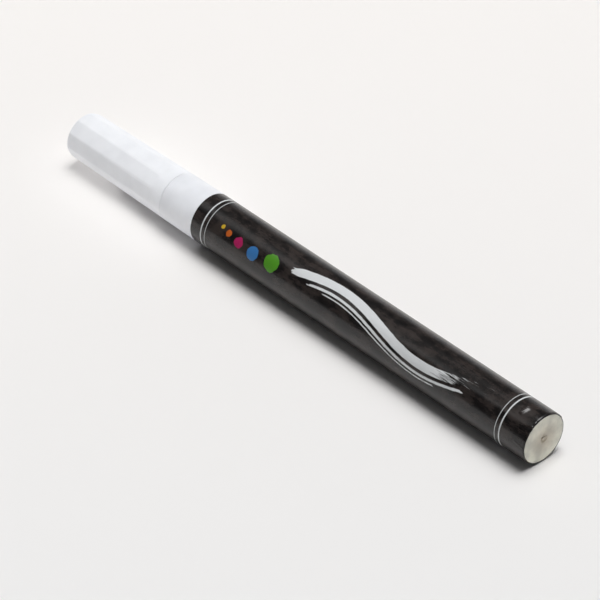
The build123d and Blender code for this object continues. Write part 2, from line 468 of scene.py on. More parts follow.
@dataclass(frozen=True)
class PlasticFinish:
    """Moulded plastic: a faint cloud in its colour, moulding waves, fine grain and uneven gloss, and, where
    given, a painted shade towards the axis.

    Attributes:
        name: Name of the material.
        colour: Linear base colour.
        roughness: Middle of its roughness.
        cloud: Share by which its colour varies.
        glow: Share of the light that goes into it, or 0 where it is dense.
        glow_depth: How far that light spreads inside it.
        painted_core_shade: Linear colour of a painted shade on the marker's axis, where there is one: a
            darker colour that stands in for shade, not a tint of the plastic.
        core_shade_radius: How far from the axis that painted shade reaches.
        patches: Patches of its cloud.
        patch_span: Values of the patches from darkest to palest.
        patch_gloss: How far its roughness varies with the patches.
        grain: Grain of its mould.
        grain_gloss: How far its roughness varies with the grain.
        grain_height: Height of the grain.
        waves: Moulding waves, drawn out along the marker.
        wave_height: Height of the waves in heights of the grain.
        ior: Index of refraction.
        glow_tint: Spread of red, green and blue light inside it.
    """

    name: str
    colour: Colour
    roughness: float = 0.38
    cloud: float = 0.03
    glow: float = 0.0
    glow_depth: float = 1.0
    painted_core_shade: Colour | None = None
    core_shade_radius: float = 0.0
    patches: Noise = Noise(4.0, 3.0)
    patch_span: Limits = (0.3, 0.7)
    patch_gloss: float = 0.10
    grain: Noise = Noise(0.12, 2.0, 0.6)
    grain_gloss: float = 0.08
    grain_height: float = 0.0016
    waves: Noise = Noise(2.2, stretch=(0.25, 1.0, 1.0))
    wave_height: float = 3.0
    ior: float = 1.49
    glow_tint: Colour = (1.0, 0.95, 0.9)

    def clouded(self, shader: Shader, tone: Field, colour: Colour) -> bpy.types.NodeSocket:
        """A colour that is darker where the tone is 0 and lighter where it is 1."""
        return shader.mix(tone, shade(colour, 1 - self.cloud), shade(colour, 1 + self.cloud))

    def material(self) -> bpy.types.Material:
        """Material with this finish."""
        shader = Shader.of_finish(self.name)
        patches, grain, waves = (shader.noise(part) for part in (self.patches, self.grain, self.waves))
        tone = patches.rise(*self.patch_span)
        colour = self.clouded(shader, tone, self.colour)
        # Painted shade: the colour darkens towards the axis to the darker core colour.
        if self.painted_core_shade is not None:
            middle = shader.off_axis().rise(self.core_shade_radius, 0.0)
            colour = shader.mix(middle, colour, self.clouded(shader, tone, self.painted_core_shade))
        smoothest = self.roughness - (self.patch_gloss + self.grain_gloss) / 2
        roughness = patches * self.patch_gloss + grain * self.grain_gloss + smoothest
        shader.set(base_color=colour, roughness=roughness, ior=self.ior)
        shader.emboss(grain + waves * self.wave_height, self.grain_height)
        if self.glow:
            shader.set(subsurface_weight=self.glow, subsurface_radius=self.glow_tint)
            shader.set(subsurface_scale=self.glow_depth * MM)
        return shader.owner


@dataclass(frozen=True)
class FibreFinish:
    """Pressed fibre: long pale strands that lie along the nib, with paint drawn into them."""

    name: str
    pale: Colour = (0.80, 0.785, 0.75)
    deep: Colour = (0.60, 0.57, 0.52)
    strands: Noise = Noise(0.09, 2.0, 0.6, (0.06, 1.0, 1.0))
    strand_span: Limits = (0.3, 0.62)
    strand_height: float = 0.03
    roughness: float = 0.92
    fuzz: float = 0.15

    def material(self) -> bpy.types.Material:
        """Material with this finish."""
        shader = Shader.of_finish(self.name)
        strands = shader.noise(self.strands)
        shader.set(base_color=shader.mix(strands.rise(*self.strand_span), self.deep, self.pale))
        shader.set(roughness=self.roughness, sheen_weight=self.fuzz)
        shader.emboss(strands, self.strand_height)
        return shader.owner


@dataclass(frozen=True)
class MetalFinish:
    """Bright steel with fine lapping marks, or drawing marks where they are stretched, and a faint stain."""

    name: str
    roughness: float = 0.22
    colour: Colour = (0.61, 0.61, 0.60)
    marks: Noise = Noise(0.08, 3.0, 0.65)
    mark_gloss: float = 0.14
    mark_height: float = 0.002
    stain: Noise = Noise(1.2, 3.0)
    stain_span: Limits = (0.4, 0.8)
    stain_shade: float = 0.82

    def material(self) -> bpy.types.Material:
        """Material with this finish."""
        shader = Shader.of_finish(self.name)
        marks = shader.noise(self.marks)
        stain = shader.noise(self.stain).rise(*self.stain_span)
        shader.set(base_color=shader.mix(stain, self.colour, shade(self.colour, self.stain_shade)))
        shader.set(metallic=1.0, roughness=marks * self.mark_gloss + (self.roughness - self.mark_gloss / 2))
        shader.emboss(marks, self.mark_height)
        return shader.owner


@dataclass(frozen=True)
class RubberFinish:
    """Dark seal rubber with a dull, finely pitted skin and a dusty bloom."""

    name: str
    colour: Colour = (0.022, 0.022, 0.024)
    bloom: Colour = (0.06, 0.058, 0.055)
    dust: Noise = Noise(1.5, 3.0)
    dust_span: Limits = (0.45, 0.85)
    pits: Noise = Noise(0.15, 3.0, 0.7)
    pit_gloss: float = 0.2
    pit_depth: float = 0.01
    smoothest: float = 0.55

    def material(self) -> bpy.types.Material:
        """Material with this finish."""
        shader = Shader.of_finish(self.name)
        pits = shader.noise(self.pits)
        dust = shader.noise(self.dust).rise(*self.dust_span)
        shader.set(base_color=shader.mix(dust, self.colour, self.bloom))
        shader.set(roughness=pits * self.pit_gloss + self.smoothest)
        shader.emboss(pits, self.pit_depth)
        return shader.owner


@dataclass(frozen=True)
class Stroke:
    """A brush stroke that keeps its distance from the film's wave and runs dry towards its end."""

    start: float
    end: float
    offset: float
    weight: float
    dryness: float


@dataclass(frozen=True)
class Dab:
    """A round dab of ink in line with the film's first stroke."""

    along: float
    radius: float
    ink: Ink


@dataclass(frozen=True)
class FilmFinish:
    """Glossy printed shrink film: a near-black ground with faint brushwork and a plain drawn print.

    Places on it are in millimetres: along from the film's front end, and across upwards from the line that
    faces the camera.

    Attributes:
        name: Name of the material.
        ground: Linear colour of the ground.
        brushed: Linear colour of the brushwork.
        brush: Marks of the brushwork, drawn out along the film.
        clouds: Clouds in the brushwork and in the gloss.
        brush_span: Values of the mean of both, from ground to brushwork.
        roughness: Middle of its roughness.
        cloud_gloss: How far its roughness varies with the clouds.
        ior: Index of refraction.
        ripple: Ripple in the film, drawn out along it.
        ripple_height: Height of the ripple.
        soft: Half the width of a printed edge.
        rings: Place and half the width of each ring.
        wave_start: A place where the wave crosses its middle line upwards.
        wave_length: Length of the wave.
        wave_height: Height of its crest.
        bristle: Bristle marks in the strokes, drawn out along them.
        side_wear: How far the bristles eat into a stroke's sides.
        end_wear: How far they eat into its ends.
        lead_length: Length over which a stroke reaches its full weight.
        lead_weight: Share of its weight at its start.
        dry_start: Share of its length after which it runs dry.
        dry_level: Bristle value that its cover grows about at its driest, for a dryness of 1.
        dry_fade: Where the cover starts and stops growing, counted from that value.
        dab_wear: Unevenness of a dab's edge.
        dab_depth: How far that goes.
        strokes: The strokes. The dabs are in line with the first.
        dabs: The dabs.
    """

    name: str
    ground: Colour = (0.0072, 0.0060, 0.0059)
    brushed: Colour = (0.036, 0.028, 0.0252)
    brush: Noise = Noise(1.6, 4.0, 0.65, (0.3, 1.0, 1.0))
    clouds: Noise = Noise(5.0, 4.0, 0.6)
    brush_span: Limits = (0.42, 0.60)
    roughness: float = 0.24
    cloud_gloss: float = 0.10
    ior: float = 1.48
    ripple: Noise = Noise(1.8, 3.0, stretch=(0.25, 1.0, 1.0))
    ripple_height: float = 0.022
    soft: float = 0.07
    rings: tuple[tuple[float, float], ...] = ((3.1, 0.16), (4.3, 0.07), (89.4, 0.07), (90.6, 0.16))
    wave_start: float = 30.0
    wave_length: float = 49.0
    wave_height: float = 2.0
    bristle: Noise = Noise(0.55, 3.0, 0.6, (0.10, 1.6, 1.0))
    side_wear: float = 0.25
    end_wear: float = 4.0
    lead_length: float = 2.2
    lead_weight: float = 0.65
    dry_start: float = 0.45
    dry_level: float = 0.75
    dry_fade: Limits = (-0.12, 0.06)
    dab_wear: Noise = Noise(1.3)
    dab_depth: float = 0.7
    strokes: tuple[Stroke, ...] = (
        Stroke(29.0, 86.0, 0.6, 0.95, 1.0),
        Stroke(34.0, 79.0, -1.35, 0.27, 0.4),
        Stroke(38.0, 72.0, -2.2, 0.13, 0.3),
    )
    dabs: tuple[Dab, ...] = (
        Dab(8.2, 0.45, Ink.YELLOW),
        Dab(10.4, 0.75, Ink.ORANGE),
        Dab(13.6, 1.15, Ink.MAGENTA),
        Dab(18.0, 1.55, Ink.BLUE),
        Dab(23.4, 1.95, Ink.GREEN),
    )

    def on_film(self, noise: Noise, along: Field, across: Field, shift: float = 0.0) -> Field:
        """Values of a noise on the flat film, shifted across it."""
        x, y, _ = noise.stretch
        return along.shader.noise(noise, along.shader.vector(along * x, across * y + shift))

    def inside(self, distance: Field) -> Field:
        """Cover of a shape: 1 where the distance to its edge is negative, with a soft edge."""
        return distance.rise(self.soft, -self.soft)

    def ring_cover(self, along: Field) -> Field:
        """Cover of the rings: the most that any ring covers, each being |along - place| - half its width."""
        covers = [self.inside(abs(along - place) - width) for place, width in self.rings]
        cover = covers[0]
        for other in covers[1:]:
            cover = cover.math("MAXIMUM", other)
        return cover

    def stroke_cover(self, along: Field, across: Field, stroke: Stroke) -> Field:
        """Cover of one stroke.

        The wave is A sin(k s), with s from its start. The distance to the stroke is |t - wave - offset| over
        the root of 1 + (A k cos(k s)) squared, and bristle noise drawn out along it eats into the dry end.

        Args:
            along: Place along the film.
            across: Place across the film.
            stroke: The stroke.

        Returns:
            The stroke's cover.
        """
        turns = 2 * pi / self.wave_length
        turn = (along - self.wave_start) * turns
        away = abs(across - (turn.math("SINE") * self.wave_height + stroke.offset))
        slope = turn.math("COSINE") * (self.wave_height * turns)
        away = away * (slope * slope + 1.0).math("INVERSE_SQRT")
        bristle = self.on_film(self.bristle, along, across, stroke.start)
        wear = bristle - NOISE_MIDDLE
        drawn = along - stroke.start
        length = stroke.end - stroke.start
        lead = drawn.rise(0.0, self.lead_length) * (1 - self.lead_weight) + self.lead_weight
        sides = away - lead * stroke.weight + wear * self.side_wear
        ends = abs(drawn - length / 2) - length / 2 + wear * self.end_wear
        bare = drawn.rise(length * self.dry_start, length) * (stroke.dryness * self.dry_level)
        streak = bristle.rise(*(bare + fade for fade in self.dry_fade))
        return self.inside(sides.math("MAXIMUM", ends)) * streak

    def dab_cover(self, along: Field, across: Field, dab: Dab) -> Field:
        """Cover of a dab: its distance is the root of the summed squares less its radius, slightly uneven."""
        wave = self.wave_height * sin(2 * pi * (dab.along - self.wave_start) / self.wave_length)
        x, y = along - dab.along, across - (wave + self.strokes[0].offset)
        wear = self.on_film(self.dab_wear, along, across) - NOISE_MIDDLE
        return self.inside((x * x + y * y).math("SQRT") - dab.radius + wear * self.dab_depth)

    def material(self) -> bpy.types.Material:
        """Material with this finish."""
        shader = Shader.of_finish(self.name)
        along, across = shader.wrap()
        noises = (self.clouds, self.brush, self.ripple)
        clouds, brush, ripple = (self.on_film(noise, along, across) for noise in noises)
        brushwork = ((clouds + brush) * 0.5).rise(*self.brush_span)
        colour = shader.mix(brushwork, self.ground, self.brushed)
        white = self.ring_cover(along)
        for stroke in self.strokes:
            white = white.math("MAXIMUM", self.stroke_cover(along, across, stroke))
        colour = shader.mix(white, colour, Ink.WHITE.value)
        for dab in self.dabs:
            colour = shader.mix(self.dab_cover(along, across, dab), colour, dab.ink.value)
        roughness = clouds * self.cloud_gloss + (self.roughness - self.cloud_gloss / 2)
        shader.set(base_color=colour, roughness=roughness, ior=self.ior)
        shader.emboss(ripple, self.ripple_height)
        return shader.owner


def new_piece(
    mesh: bpy.types.Mesh, material: bpy.types.Material, body: Body, node: str
) -> bpy.types.Object:
    """Put a finished mesh in the place of a node of the frame.

    Args:
        mesh: The mesh, in its place.
        material: Its finish.
        body: The body that it moves with.
        node: The node that it stands for.

    Returns:
        The new object.
    """
    mesh.materials.append(material)
    piece = bpy.data.objects.new(mesh.name, mesh)
    bpy.context.scene.collection.objects.link(piece)
    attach(piece, body.value)
    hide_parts(node)
    return piece


def dress(node: str, material: bpy.types.Material) -> bpy.types.Object:
    """Give a node of the frame its finish.

    Args:
        node: The node.
        material: Its finish.

    Returns:
        The node's object.
    """
    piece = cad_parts[node]
    piece.data.materials.clear()
    piece.data.materials.append(material)
    return piece


@dataclass(frozen=True)
class Cap:
    """Cap with tapering flats and a round skirt, and the liner cup inside it."""

    end_radius: float = 5.30
    end_round: float = 0.80
    mouth_radius: float = 5.63
    mouth_round: float = 0.16
    mouth_lead: float = 0.30
    bore: float = 4.71
    end_wall: float = 1.20
    pocket: float = 4.21
    pocket_place: float = 13.42
    flats: int = 10
    flat_turn: float = radians(40)
    end_apothem: float = 5.078
    runout_apothem: float = 5.400
    runout_place: float = 3.88
    runout_round: float = 3.00
    ridge_round: float = 0.030
    row_step: float = 0.24
    inner_step: float = 1.5
    shell_columns: int = 360
    liner_radius: float = 4.187
    liner_bore: float = 3.437
    liner_floor: float = 0.60
    liner_lead: float = 0.30
    liner_flange: float = 0.70
    liner_flange_fit: float = 0.08

    def flat_shape(self, x: np.ndarray, r: np.ndarray, angle: np.ndarray) -> np.ndarray:
        """Radius of the cap's outside.

        A flat at distance p from the axis has radius p / cos(b), b being the angle from its middle. The
        distance grows evenly to the run-out and then on a circle. The cap takes the smaller of the flat and
        the turned form, and where they differ by less than the ridge's round k, (k - difference) squared
        over 4 k comes off.

        Args:
            x: Stations.
            r: Radii of the turned form.
            angle: Angles about the axis.

        Returns:
            The radii.
        """
        span = Span.of("cap_shell")
        runout = span.end - self.runout_place
        pitch = 2 * pi / self.flats
        off = (angle - self.flat_turn + pitch / 2) % pitch - pitch / 2
        rise = (self.runout_apothem - self.end_apothem) / (runout - span.start)
        past = np.clip(x - runout, 0, self.runout_round)
        flat = self.end_apothem + rise * (x - span.start) + self.runout_round
        flat = (flat - np.sqrt(self.runout_round**2 - past**2)) / np.cos(off)
        ease = np.maximum(self.ridge_round - np.abs(flat - r), 0)
        return np.minimum(flat, r) - ease**2 / (4 * self.ridge_round)

    def shell(self) -> bpy.types.Mesh:
        """Cap shell: its outside with flats, and its bore and liner pocket."""
        span = Span.of("cap_shell")
        floor = span.start + self.end_wall
        step = span.end - self.pocket_place
        outside = outline(
            (span.start, 0.0),
            (span.start, self.end_radius, self.end_round),
            (span.end, self.mouth_radius, self.mouth_round),
            (span.end, self.bore + self.mouth_lead),
        )
        inside = outline(
            (span.end - self.mouth_lead, self.bore),
            (step, self.bore),
            (step, self.pocket),
            (floor, self.pocket),
            (floor, 0.0),
        )
        profile = np.vstack([finer(outside, self.row_step), finer(inside, self.inner_step)])
        return turned(profile, self.shell_columns, shape=self.flat_shape).mesh("cap_shell_moulding")

    def liner(self) -> bpy.types.Mesh:
        """Liner cup with its flange."""
        span = Span.of("cap_liner")
        flange = self.bore - self.liner_flange_fit
        profile = outline(
            (span.start, 0.0),
            (span.start, self.liner_radius, self.liner_lead),
            (span.end - self.liner_flange, self.liner_radius),
            (span.end - self.liner_flange, flange),
            (span.end, flange),
            (span.end, self.liner_bore + self.liner_lead),
            (span.end - self.liner_lead, self.liner_bore),
            (span.start + self.liner_floor, self.liner_bore, self.liner_lead),
            (span.start + self.liner_floor, 0.0),
        )
        return turned(profile).mesh("cap_liner_cup")

    def build(self) -> list[bpy.types.Object]:
        """Build and dress the cap's pieces."""
        white = PlasticFinish("cap_white_moulding", (0.92, 0.935, 0.975), roughness=0.52, glow=0.12)
        natural = PlasticFinish("liner_natural", (0.74, 0.74, 0.70), roughness=0.34, glow=0.5)
        return [
            new_piece(self.shell(), white.material(), Body.CAP, "cap_shell"),
            new_piece(self.liner(), natural.material(), Body.CAP, "cap_liner"),
        ]


@dataclass(frozen=True)
class FrontSection:
    """Front moulding: nose, spigot with its bead, visible collar and ribbed plug, bored through."""

    nose_radius: float = 3.18
    nose_base_radius: float = 3.68
    spigot_place: float = 7.00
    spigot_radius: float = 4.48
    spigot_round: float = 0.40
    bead_radius: float = 4.64
    bead_width: float = 1.60
    bead_place: float = 2.60
    seam_place: float = 15.00
    collar_front_radius: float = 5.66
    collar_radius: float = 5.71
    collar_round: float = 0.19
    plug_radius: float = 4.50
    plug_lead: float = 0.50
    rib_radius: float = 4.65
    rib_width: float = 0.90
    rib_pitch: float = 2.60
    ribs: int = 4
    guide_pocket: float = 2.43
    guide_depth: float = 8.02
    channel: float = 2.22
    valve_bore: float = 3.55
    valve_place: float = 26.60
    row_step: float = 1.0
    columns: int = 240

    def bead(self, middle: float, width: float, root: float, crest: float) -> list[Corner]:
        """Corners of a ring whose flanks take a third of its width each."""
        places = (-width / 2, -width / 6, width / 6, width / 2)
        return [(middle + place, radius) for place, radius in zip(places, (root, crest, crest, root))]

    def moulding(self) -> bpy.types.Mesh:
        """The whole moulding, as one turned loop."""
        span = Span.of("front_section")
        spigot = span.start + self.spigot_place
        seam = span.start + self.seam_place
        label = FILM_SPAN.start
        guide_end = span.start + self.guide_depth
        valve = span.start + self.valve_place
        corners: list[Corner] = [
            (span.start, self.guide_pocket),
            (span.start, self.nose_radius),
            (spigot, self.nose_base_radius),
            (spigot, self.spigot_radius, self.spigot_round),
            *self.bead(seam - self.bead_place, self.bead_width, self.spigot_radius, self.bead_radius),
            (seam, self.spigot_radius),
            (seam, self.collar_front_radius, self.collar_round),
            (label, self.collar_radius),
            (label, self.plug_radius),
        ]
        for rib in range(self.ribs):
            middle = label + (rib + 0.5) * self.rib_pitch
            corners += self.bead(middle, self.rib_width, self.plug_radius, self.rib_radius)
        corners += [
            (span.end - self.plug_lead, self.plug_radius),
            (span.end, self.plug_radius - self.plug_lead / 2),
            (span.end, self.valve_bore),
            (valve, self.valve_bore),
            (valve, self.channel),
            (guide_end, self.channel),
            (guide_end, self.guide_pocket),
        ]
        profile = finer(outline(*corners, closed=True), self.row_step)
        return turned(profile, self.columns).mesh("front_moulding")

    def build(self) -> list[bpy.types.Object]:
        """Build and dress the moulding."""
        white = PlasticFinish("collar_white_moulding", (0.865, 0.88, 0.92), roughness=0.36, glow=0.12)
        return [new_piece(self.moulding(), white.material(), Body.MARKER, "front_section")]


@dataclass(frozen=True)
class WritingTip:
    """Fibre nib and the flanged bush that guides it."""

    nib_radius: float = 1.50
    tip_radius: float = 1.00
    cone_length: float = 2.40
    nib_arc_steps: int = 12
    nib_columns: int = 120
    guide_bore: float = 1.56
    guide_radius: float = 2.41
    flange_radius: float = 3.18
    flange: float = 0.60
    flange_round: float = 0.25

    def nib(self) -> bpy.types.Mesh:
        """Fibre rod with a bullet tip."""
        span = Span.of("nib")
        profile = outline(
            (span.start, 0.0),
            (span.start, self.tip_radius, self.tip_radius / 2),
            (span.start + self.cone_length, self.nib_radius, self.nib_radius),
            (span.end, self.nib_radius),
            (span.end, 0.0),
            steps=self.nib_arc_steps,
        )
        return turned(profile, self.nib_columns).mesh("nib_fibre_rod")

    def guide(self) -> bpy.types.Mesh:
        """Flanged bush."""
        span = Span.of("nib_guide")
        profile = outline(
            (span.start, self.guide_bore),
            (span.start, self.flange_radius, self.flange_round),
            (span.start + self.flange, self.flange_radius),
            (span.start + self.flange, self.guide_radius),
            (span.end, self.guide_radius),
            (span.end, self.guide_bore),
            closed=True,
        )
        return turned(profile).mesh("nib_guide_bush")

    def build(self) -> list[bpy.types.Object]:
        """Build and dress the nib and its guide."""
        bush = PlasticFinish("guide_white", (0.76, 0.765, 0.78), roughness=0.32)
        fibre = FibreFinish("nib_pressed_fibre")
        return [
            new_piece(self.guide(), bush.material(), Body.MARKER, "nib_guide"),
            new_piece(self.nib(), fibre.material(), Body.NIB, "nib"),
        ]


@dataclass(frozen=True)
class ValveGear:
    """Valve behind the nib: stem, seat, gasket, return spring and cage."""

    turns: int = 6
    wire: float = 0.50
    mean_radius: float = 2.00
    travel: float = 2.00
    steps_per_turn: int = 48
    wire_columns: int = 20

    def coil(self) -> Surface:
        """Wire of the spring.

        Its centre line is a helix: (x along, R cos a, R sin a) with x growing evenly with the angle a. A
        circle of the wire's radius is carried along it, in the plane of the outward normal and of tangent x
        normal.

        Returns:
            The wire's surface, closed by a pole at each end.
        """
        span = Span.of("valve_spring")
        rows = self.turns * self.steps_per_turn + 1
        angle = np.linspace(0, 2 * pi * self.turns, rows)
        first, last = span.start + self.wire / 2, span.end - self.wire / 2
        station = np.linspace(first, last, rows)
        outward = np.stack([np.zeros(rows), np.cos(angle), np.sin(angle)], axis=-1)
        axis = np.stack([station, np.zeros(rows), np.full(rows, AXIS_HEIGHT)], axis=-1)
        line = axis + outward * self.mean_radius
        tangent = np.gradient(line, axis=0)
        tangent /= np.linalg.norm(tangent, axis=1, keepdims=True)
        side = np.cross(tangent, outward)
        round_wire = np.linspace(0, 2 * pi, self.wire_columns + 1)
        ring = outward[:, None] * np.cos(round_wire)[:, None] + side[:, None] * np.sin(round_wire)[:, None]
        points = line[:, None] + ring * self.wire / 2
        wrap = np.stack(np.broadcast_arrays(station[:, None], round_wire), axis=-1)
        return Surface(points[:, :-1], wrap, line[[0, -1]])

    def build(self) -> list[bpy.types.Object]:
        """Build the spring and dress the valve's other pieces."""
        span = Span.of("valve_spring")
        coil = self.coil().mesh("valve_spring_coil")
        steel = MetalFinish("spring_steel_wire", marks=Noise(0.08, 3.0, 0.65, stretch=(0.3, 1.0, 1.0)))
        spring = new_piece(coil, steel.material(), Body.MARKER, "valve_spring")
        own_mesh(spring)
        acetal = PlasticFinish("valve_white", (0.70, 0.71, 0.70), roughness=0.30).material()
        return [
            spring,
            dress("valve_stem", acetal),
            dress("valve_seat", acetal),
            dress("spring_cage", acetal),
            dress("seat_gasket", RubberFinish("gasket_seal_rubber").material()),
        ]


@dataclass(frozen=True)
class Barrel:
    """Paint tube with a closed floor that shows as the tail disc, and the loose ball inside it."""

    radius: float = 5.58
    bore: float = 4.68
    floor: float = 1.20
    floor_round: float = 0.80
    tail_round: float = 0.42
    gate_radius: float = 0.90
    gate_depth: float = 0.25
    gate_round: float = 0.06
    stub_radius: float = 0.50
    stub_top_radius: float = 0.40
    stub_height: float = 0.20
    row_step: float = 2.0
    columns: int = 240

    def tube(self) -> bpy.types.Mesh:
        """Tube, floor and gate mark with the stub that is left in it."""
        span = Span.of("barrel")
        floor = span.end - self.floor
        bottom = span.end - self.gate_depth
        profile = outline(
            (floor, 0.0),
            (floor, self.bore, self.floor_round),
            (span.start, self.bore),
            (span.start, self.radius),
            (span.end, self.radius, self.tail_round),
            (span.end, self.gate_radius, self.gate_round),
            (bottom, self.gate_radius - self.gate_depth, self.gate_round),
            (bottom, self.stub_radius),
            (bottom + self.stub_height, self.stub_top_radius, self.gate_round),
            (bottom + self.stub_height, 0.0),
        )
        return turned(finer(profile, self.row_step), self.columns).mesh("barrel_tube")

    def build(self) -> list[bpy.types.Object]:
        """Build and dress the tube and dress the ball."""
        natural = PlasticFinish(
            "barrel_natural",
            (0.73, 0.715, 0.62),
            roughness=0.42,
            cloud=0.20,
            glow=0.3,
            glow_depth=0.4,
            # Painted shade: the tail disc is painted darker and browner towards its middle, for the shade
            # inside the translucent floor that light enters at its rim.
            painted_core_shade=(0.60, 0.535, 0.435),
            core_shade_radius=5.0,
        )
        ball = MetalFinish("ball_lapped_steel", roughness=0.12)
        return [
            new_piece(self.tube(), natural.material(), Body.MARKER, "barrel"),
            dress("mixing_ball", ball.material()),
        ]


@dataclass(frozen=True)
class Crease:
    """A raised crease of the film, between two places along and across it."""

    start: tuple[float, float]
    end: tuple[float, float]
    height: float
    width: float


@dataclass(frozen=True)
class LabelSleeve:
    """Shrink film round the barrel, with its overlap at the back and creases near its ends."""

    thickness: float = 0.15
    lap: float = 0.045
    lap_width: float = 3.4
    lap_edge: float = 0.05
    ripple: float = 0.018
    ripples: int = 17
    ripple_reach: float = 2.2
    edge_round: float = 0.04
    lip_turn: float = radians(50)
    lip_thickness: float = 0.08
    lip_steps: int = 9
    row_step: float = 2.0
    columns: int = 360
    crease_step: float = 0.10
    crease_reach: float = 5.0
    creases: tuple[Crease, ...] = (
        Crease((93.1, 1.9), (93.5, 3.5), 0.20, 0.38),
        Crease((95.3, 0.2), (97.3, 0.65), 0.10, 0.17),
        Crease((96.1, 2.9), (97.3, 2.3), 0.05, 0.14),
        Crease((94.8, -3.9), (97.3, -4.4), 0.05, 0.20),
        Crease((95.6, 9.8), (97.3, 10.3), 0.06, 0.20),
        Crease((0.0, -8.4), (1.6, -8.9), 0.05, 0.20),
        Crease((0.0, 11.6), (1.3, 11.2), 0.05, 0.20),
    )

    def across(self, angle: np.ndarray) -> np.ndarray:
        """Place across the film, upwards from the line that faces the camera."""
        return FILM_SPAN.radius * (PRINT_FRONT - angle)

    def film_shape(self, x: np.ndarray, r: np.ndarray, angle: np.ndarray) -> np.ndarray:
        """Radius of the film.

        The film is one layer thick but for its overlap at the back, which rises by a lap over its free edge
        and slopes down on its other side. Each crease adds h exp(-(d / w) squared), d being the distance from
        it on the flat film, and a sine ripple fades in towards the tail.

        Args:
            x: Stations.
            r: Radii of the plain tube.
            angle: Angles about the axis.

        Returns:
            The radii.
        """
        along = x - FILM_SPAN.start
        across = self.across(angle)
        edge = across + pi * FILM_SPAN.radius
        slope = np.clip((self.lap_width - edge) / (self.lap_width / 2), 0, 1)
        lapped = np.clip(edge / self.lap_edge, 0, 1) * slope
        lift = -self.lap * (1 - lapped)
        for crease in self.creases:
            start, end = np.array(crease.start), np.array(crease.end)
            run = end - start
            share = np.clip(((along - start[0]) * run[0] + (across - start[1]) * run[1]) / (run @ run), 0, 1)
            away = np.hypot(along - start[0] - share * run[0], across - start[1] - share * run[1])
            lift = lift + crease.height * np.exp(-((away / crease.width) ** 2))
        tail = np.clip(1 - (FILM_SPAN.end - x) / self.ripple_reach, 0, 1) ** 2
        return r + lift + tail * self.ripple * np.sin(self.ripples * angle)

    def lip(self) -> np.ndarray:
        """Profile of the end that is shrunk over the rounded edge of the barrel's tail.

        It goes out along the outer face and back along the inner one. A point at angle t is at centre +
        reach (sin t, cos t), the centre being that of the edge's round. The outer reach falls evenly with t.

        Returns:
            Points x 2 array of stations and radii.
        """
        centre = np.array([Span.of("barrel").end, Barrel.radius]) - Barrel.tail_round
        turn = np.linspace(0, self.lip_turn, self.lip_steps)
        ray = np.stack([np.sin(turn), np.cos(turn)], axis=-1)
        outer = FILM_SPAN.radius - centre[1]
        inner = outer - self.thickness
        reach = np.linspace(outer, inner + self.lip_thickness, self.lip_steps)[:, None]
        return np.vstack([centre + reach * ray, centre + inner * ray[::-1]])

    def film(self) -> bpy.types.Mesh:
        """The film as a closed sleeve, with its places in millimetres as its UV."""
        outer = FILM_SPAN.radius
        inner = outer - self.thickness
        sleeve = outline(
            (FILM_SPAN.start, inner),
            (FILM_SPAN.start, outer, self.edge_round),
            (FILM_SPAN.start + self.crease_reach, outer),
            (FILM_SPAN.end - self.crease_reach, outer),
        )
        profile = np.vstack([sleeve, self.lip()])
        station, radius = (profile[:-1] + profile[1:]).T / 2
        from_end = np.minimum(station - FILM_SPAN.start, FILM_SPAN.end - station)
        creased = (from_end < self.crease_reach) & (radius > inner)
        profile = finer(profile, np.where(creased, self.crease_step, self.row_step))
        surface = turned(profile, self.columns, PRINT_FRONT - pi, self.film_shape)
        along, angle = surface.wrap[..., 0], surface.wrap[..., 1]
        surface.wrap = np.stack([along - FILM_SPAN.start, self.across(angle)], axis=-1)
        return surface.mesh("label_film")

    def build(self) -> list[bpy.types.Object]:
        """Build and dress the film."""
        finish = FilmFinish("film_print")
        return [new_piece(self.film(), finish.material(), Body.MARKER, "label_sleeve")]


@dataclass(frozen=True)
class Sun:
    """A distant overhead light.

    Attributes:
        name: Name of the light.
        tilt: How far it leans back from straight above.
        width: Angle that it fills.
        strength: Watts on each square metre that faces it.
        soaks: Whether it is the share of light that soaks through the thin pale walls.
    """

    name: str
    tilt: float
    width: float
    strength: float
    soaks: bool = False

    def build(self) -> None:
        """Make the light and turn it down."""
        light = bpy.data.lights.new(self.name, "SUN")
        light.angle = self.width
        light.energy = self.strength
        lamp = hang(light, Vector((0.0, sin(self.tilt), cos(self.tilt))), Vector())
        if self.soaks:
            self.spare(lamp)

    def spare(self, lamp: bpy.types.Object) -> None:
        """Keep the thin pale walls from casting a shadow in a lamp's light."""
        walls = gathered("thin_pale_walls", THIN_PALE_WALLS)
        for wall in walls.collection_objects:
            wall.light_linking.link_state = "EXCLUDE"
        lamp.light_linking.blocker_collection = walls


@dataclass(frozen=True)
class Panel:
    """A rectangle of light that faces a place on the marker.

    Attributes:
        name: Name of the light.
        place: Where its middle is.
        toward: The place that it faces.
        width: Its level side.
        height: Its sloping side.
        radiance: How bright its face is, where 1 is paper white.
        whites_only: Whether it lights the white pieces alone, as a small card close to them would.
    """

    name: str
    place: tuple[float, float, float]
    toward: tuple[float, float, float]
    width: float
    height: float
    radiance: float
    whites_only: bool = False

    def build(self) -> None:
        """Make the light: a rectangle of area A gives out pi A watts for each unit of radiance."""
        light = bpy.data.lights.new(self.name, "AREA")
        light.shape = "RECTANGLE"
        light.size = self.width * MM
        light.size_y = self.height * MM
        light.energy = pi * light.size * light.size_y * self.radiance
        lamp = hang(light, Vector(self.place) * MM, Vector(self.toward) * MM)
        if self.whites_only:
            lamp.light_linking.receiver_collection = gathered("white_pieces", WHITE_PIECES)


def gathered(name: str, pieces: tuple[str, ...]) -> bpy.types.Collection:
    """Collection of made pieces that a lamp treats in its own way.

    Args:
        name: Name of the collection.
        pieces: Names of the pieces.

    Returns:
        The collection, which only lamps use.
    """
    group = bpy.data.collections.new(name)
    for piece in pieces:
        group.objects.link(bpy.data.objects[piece])
    return group


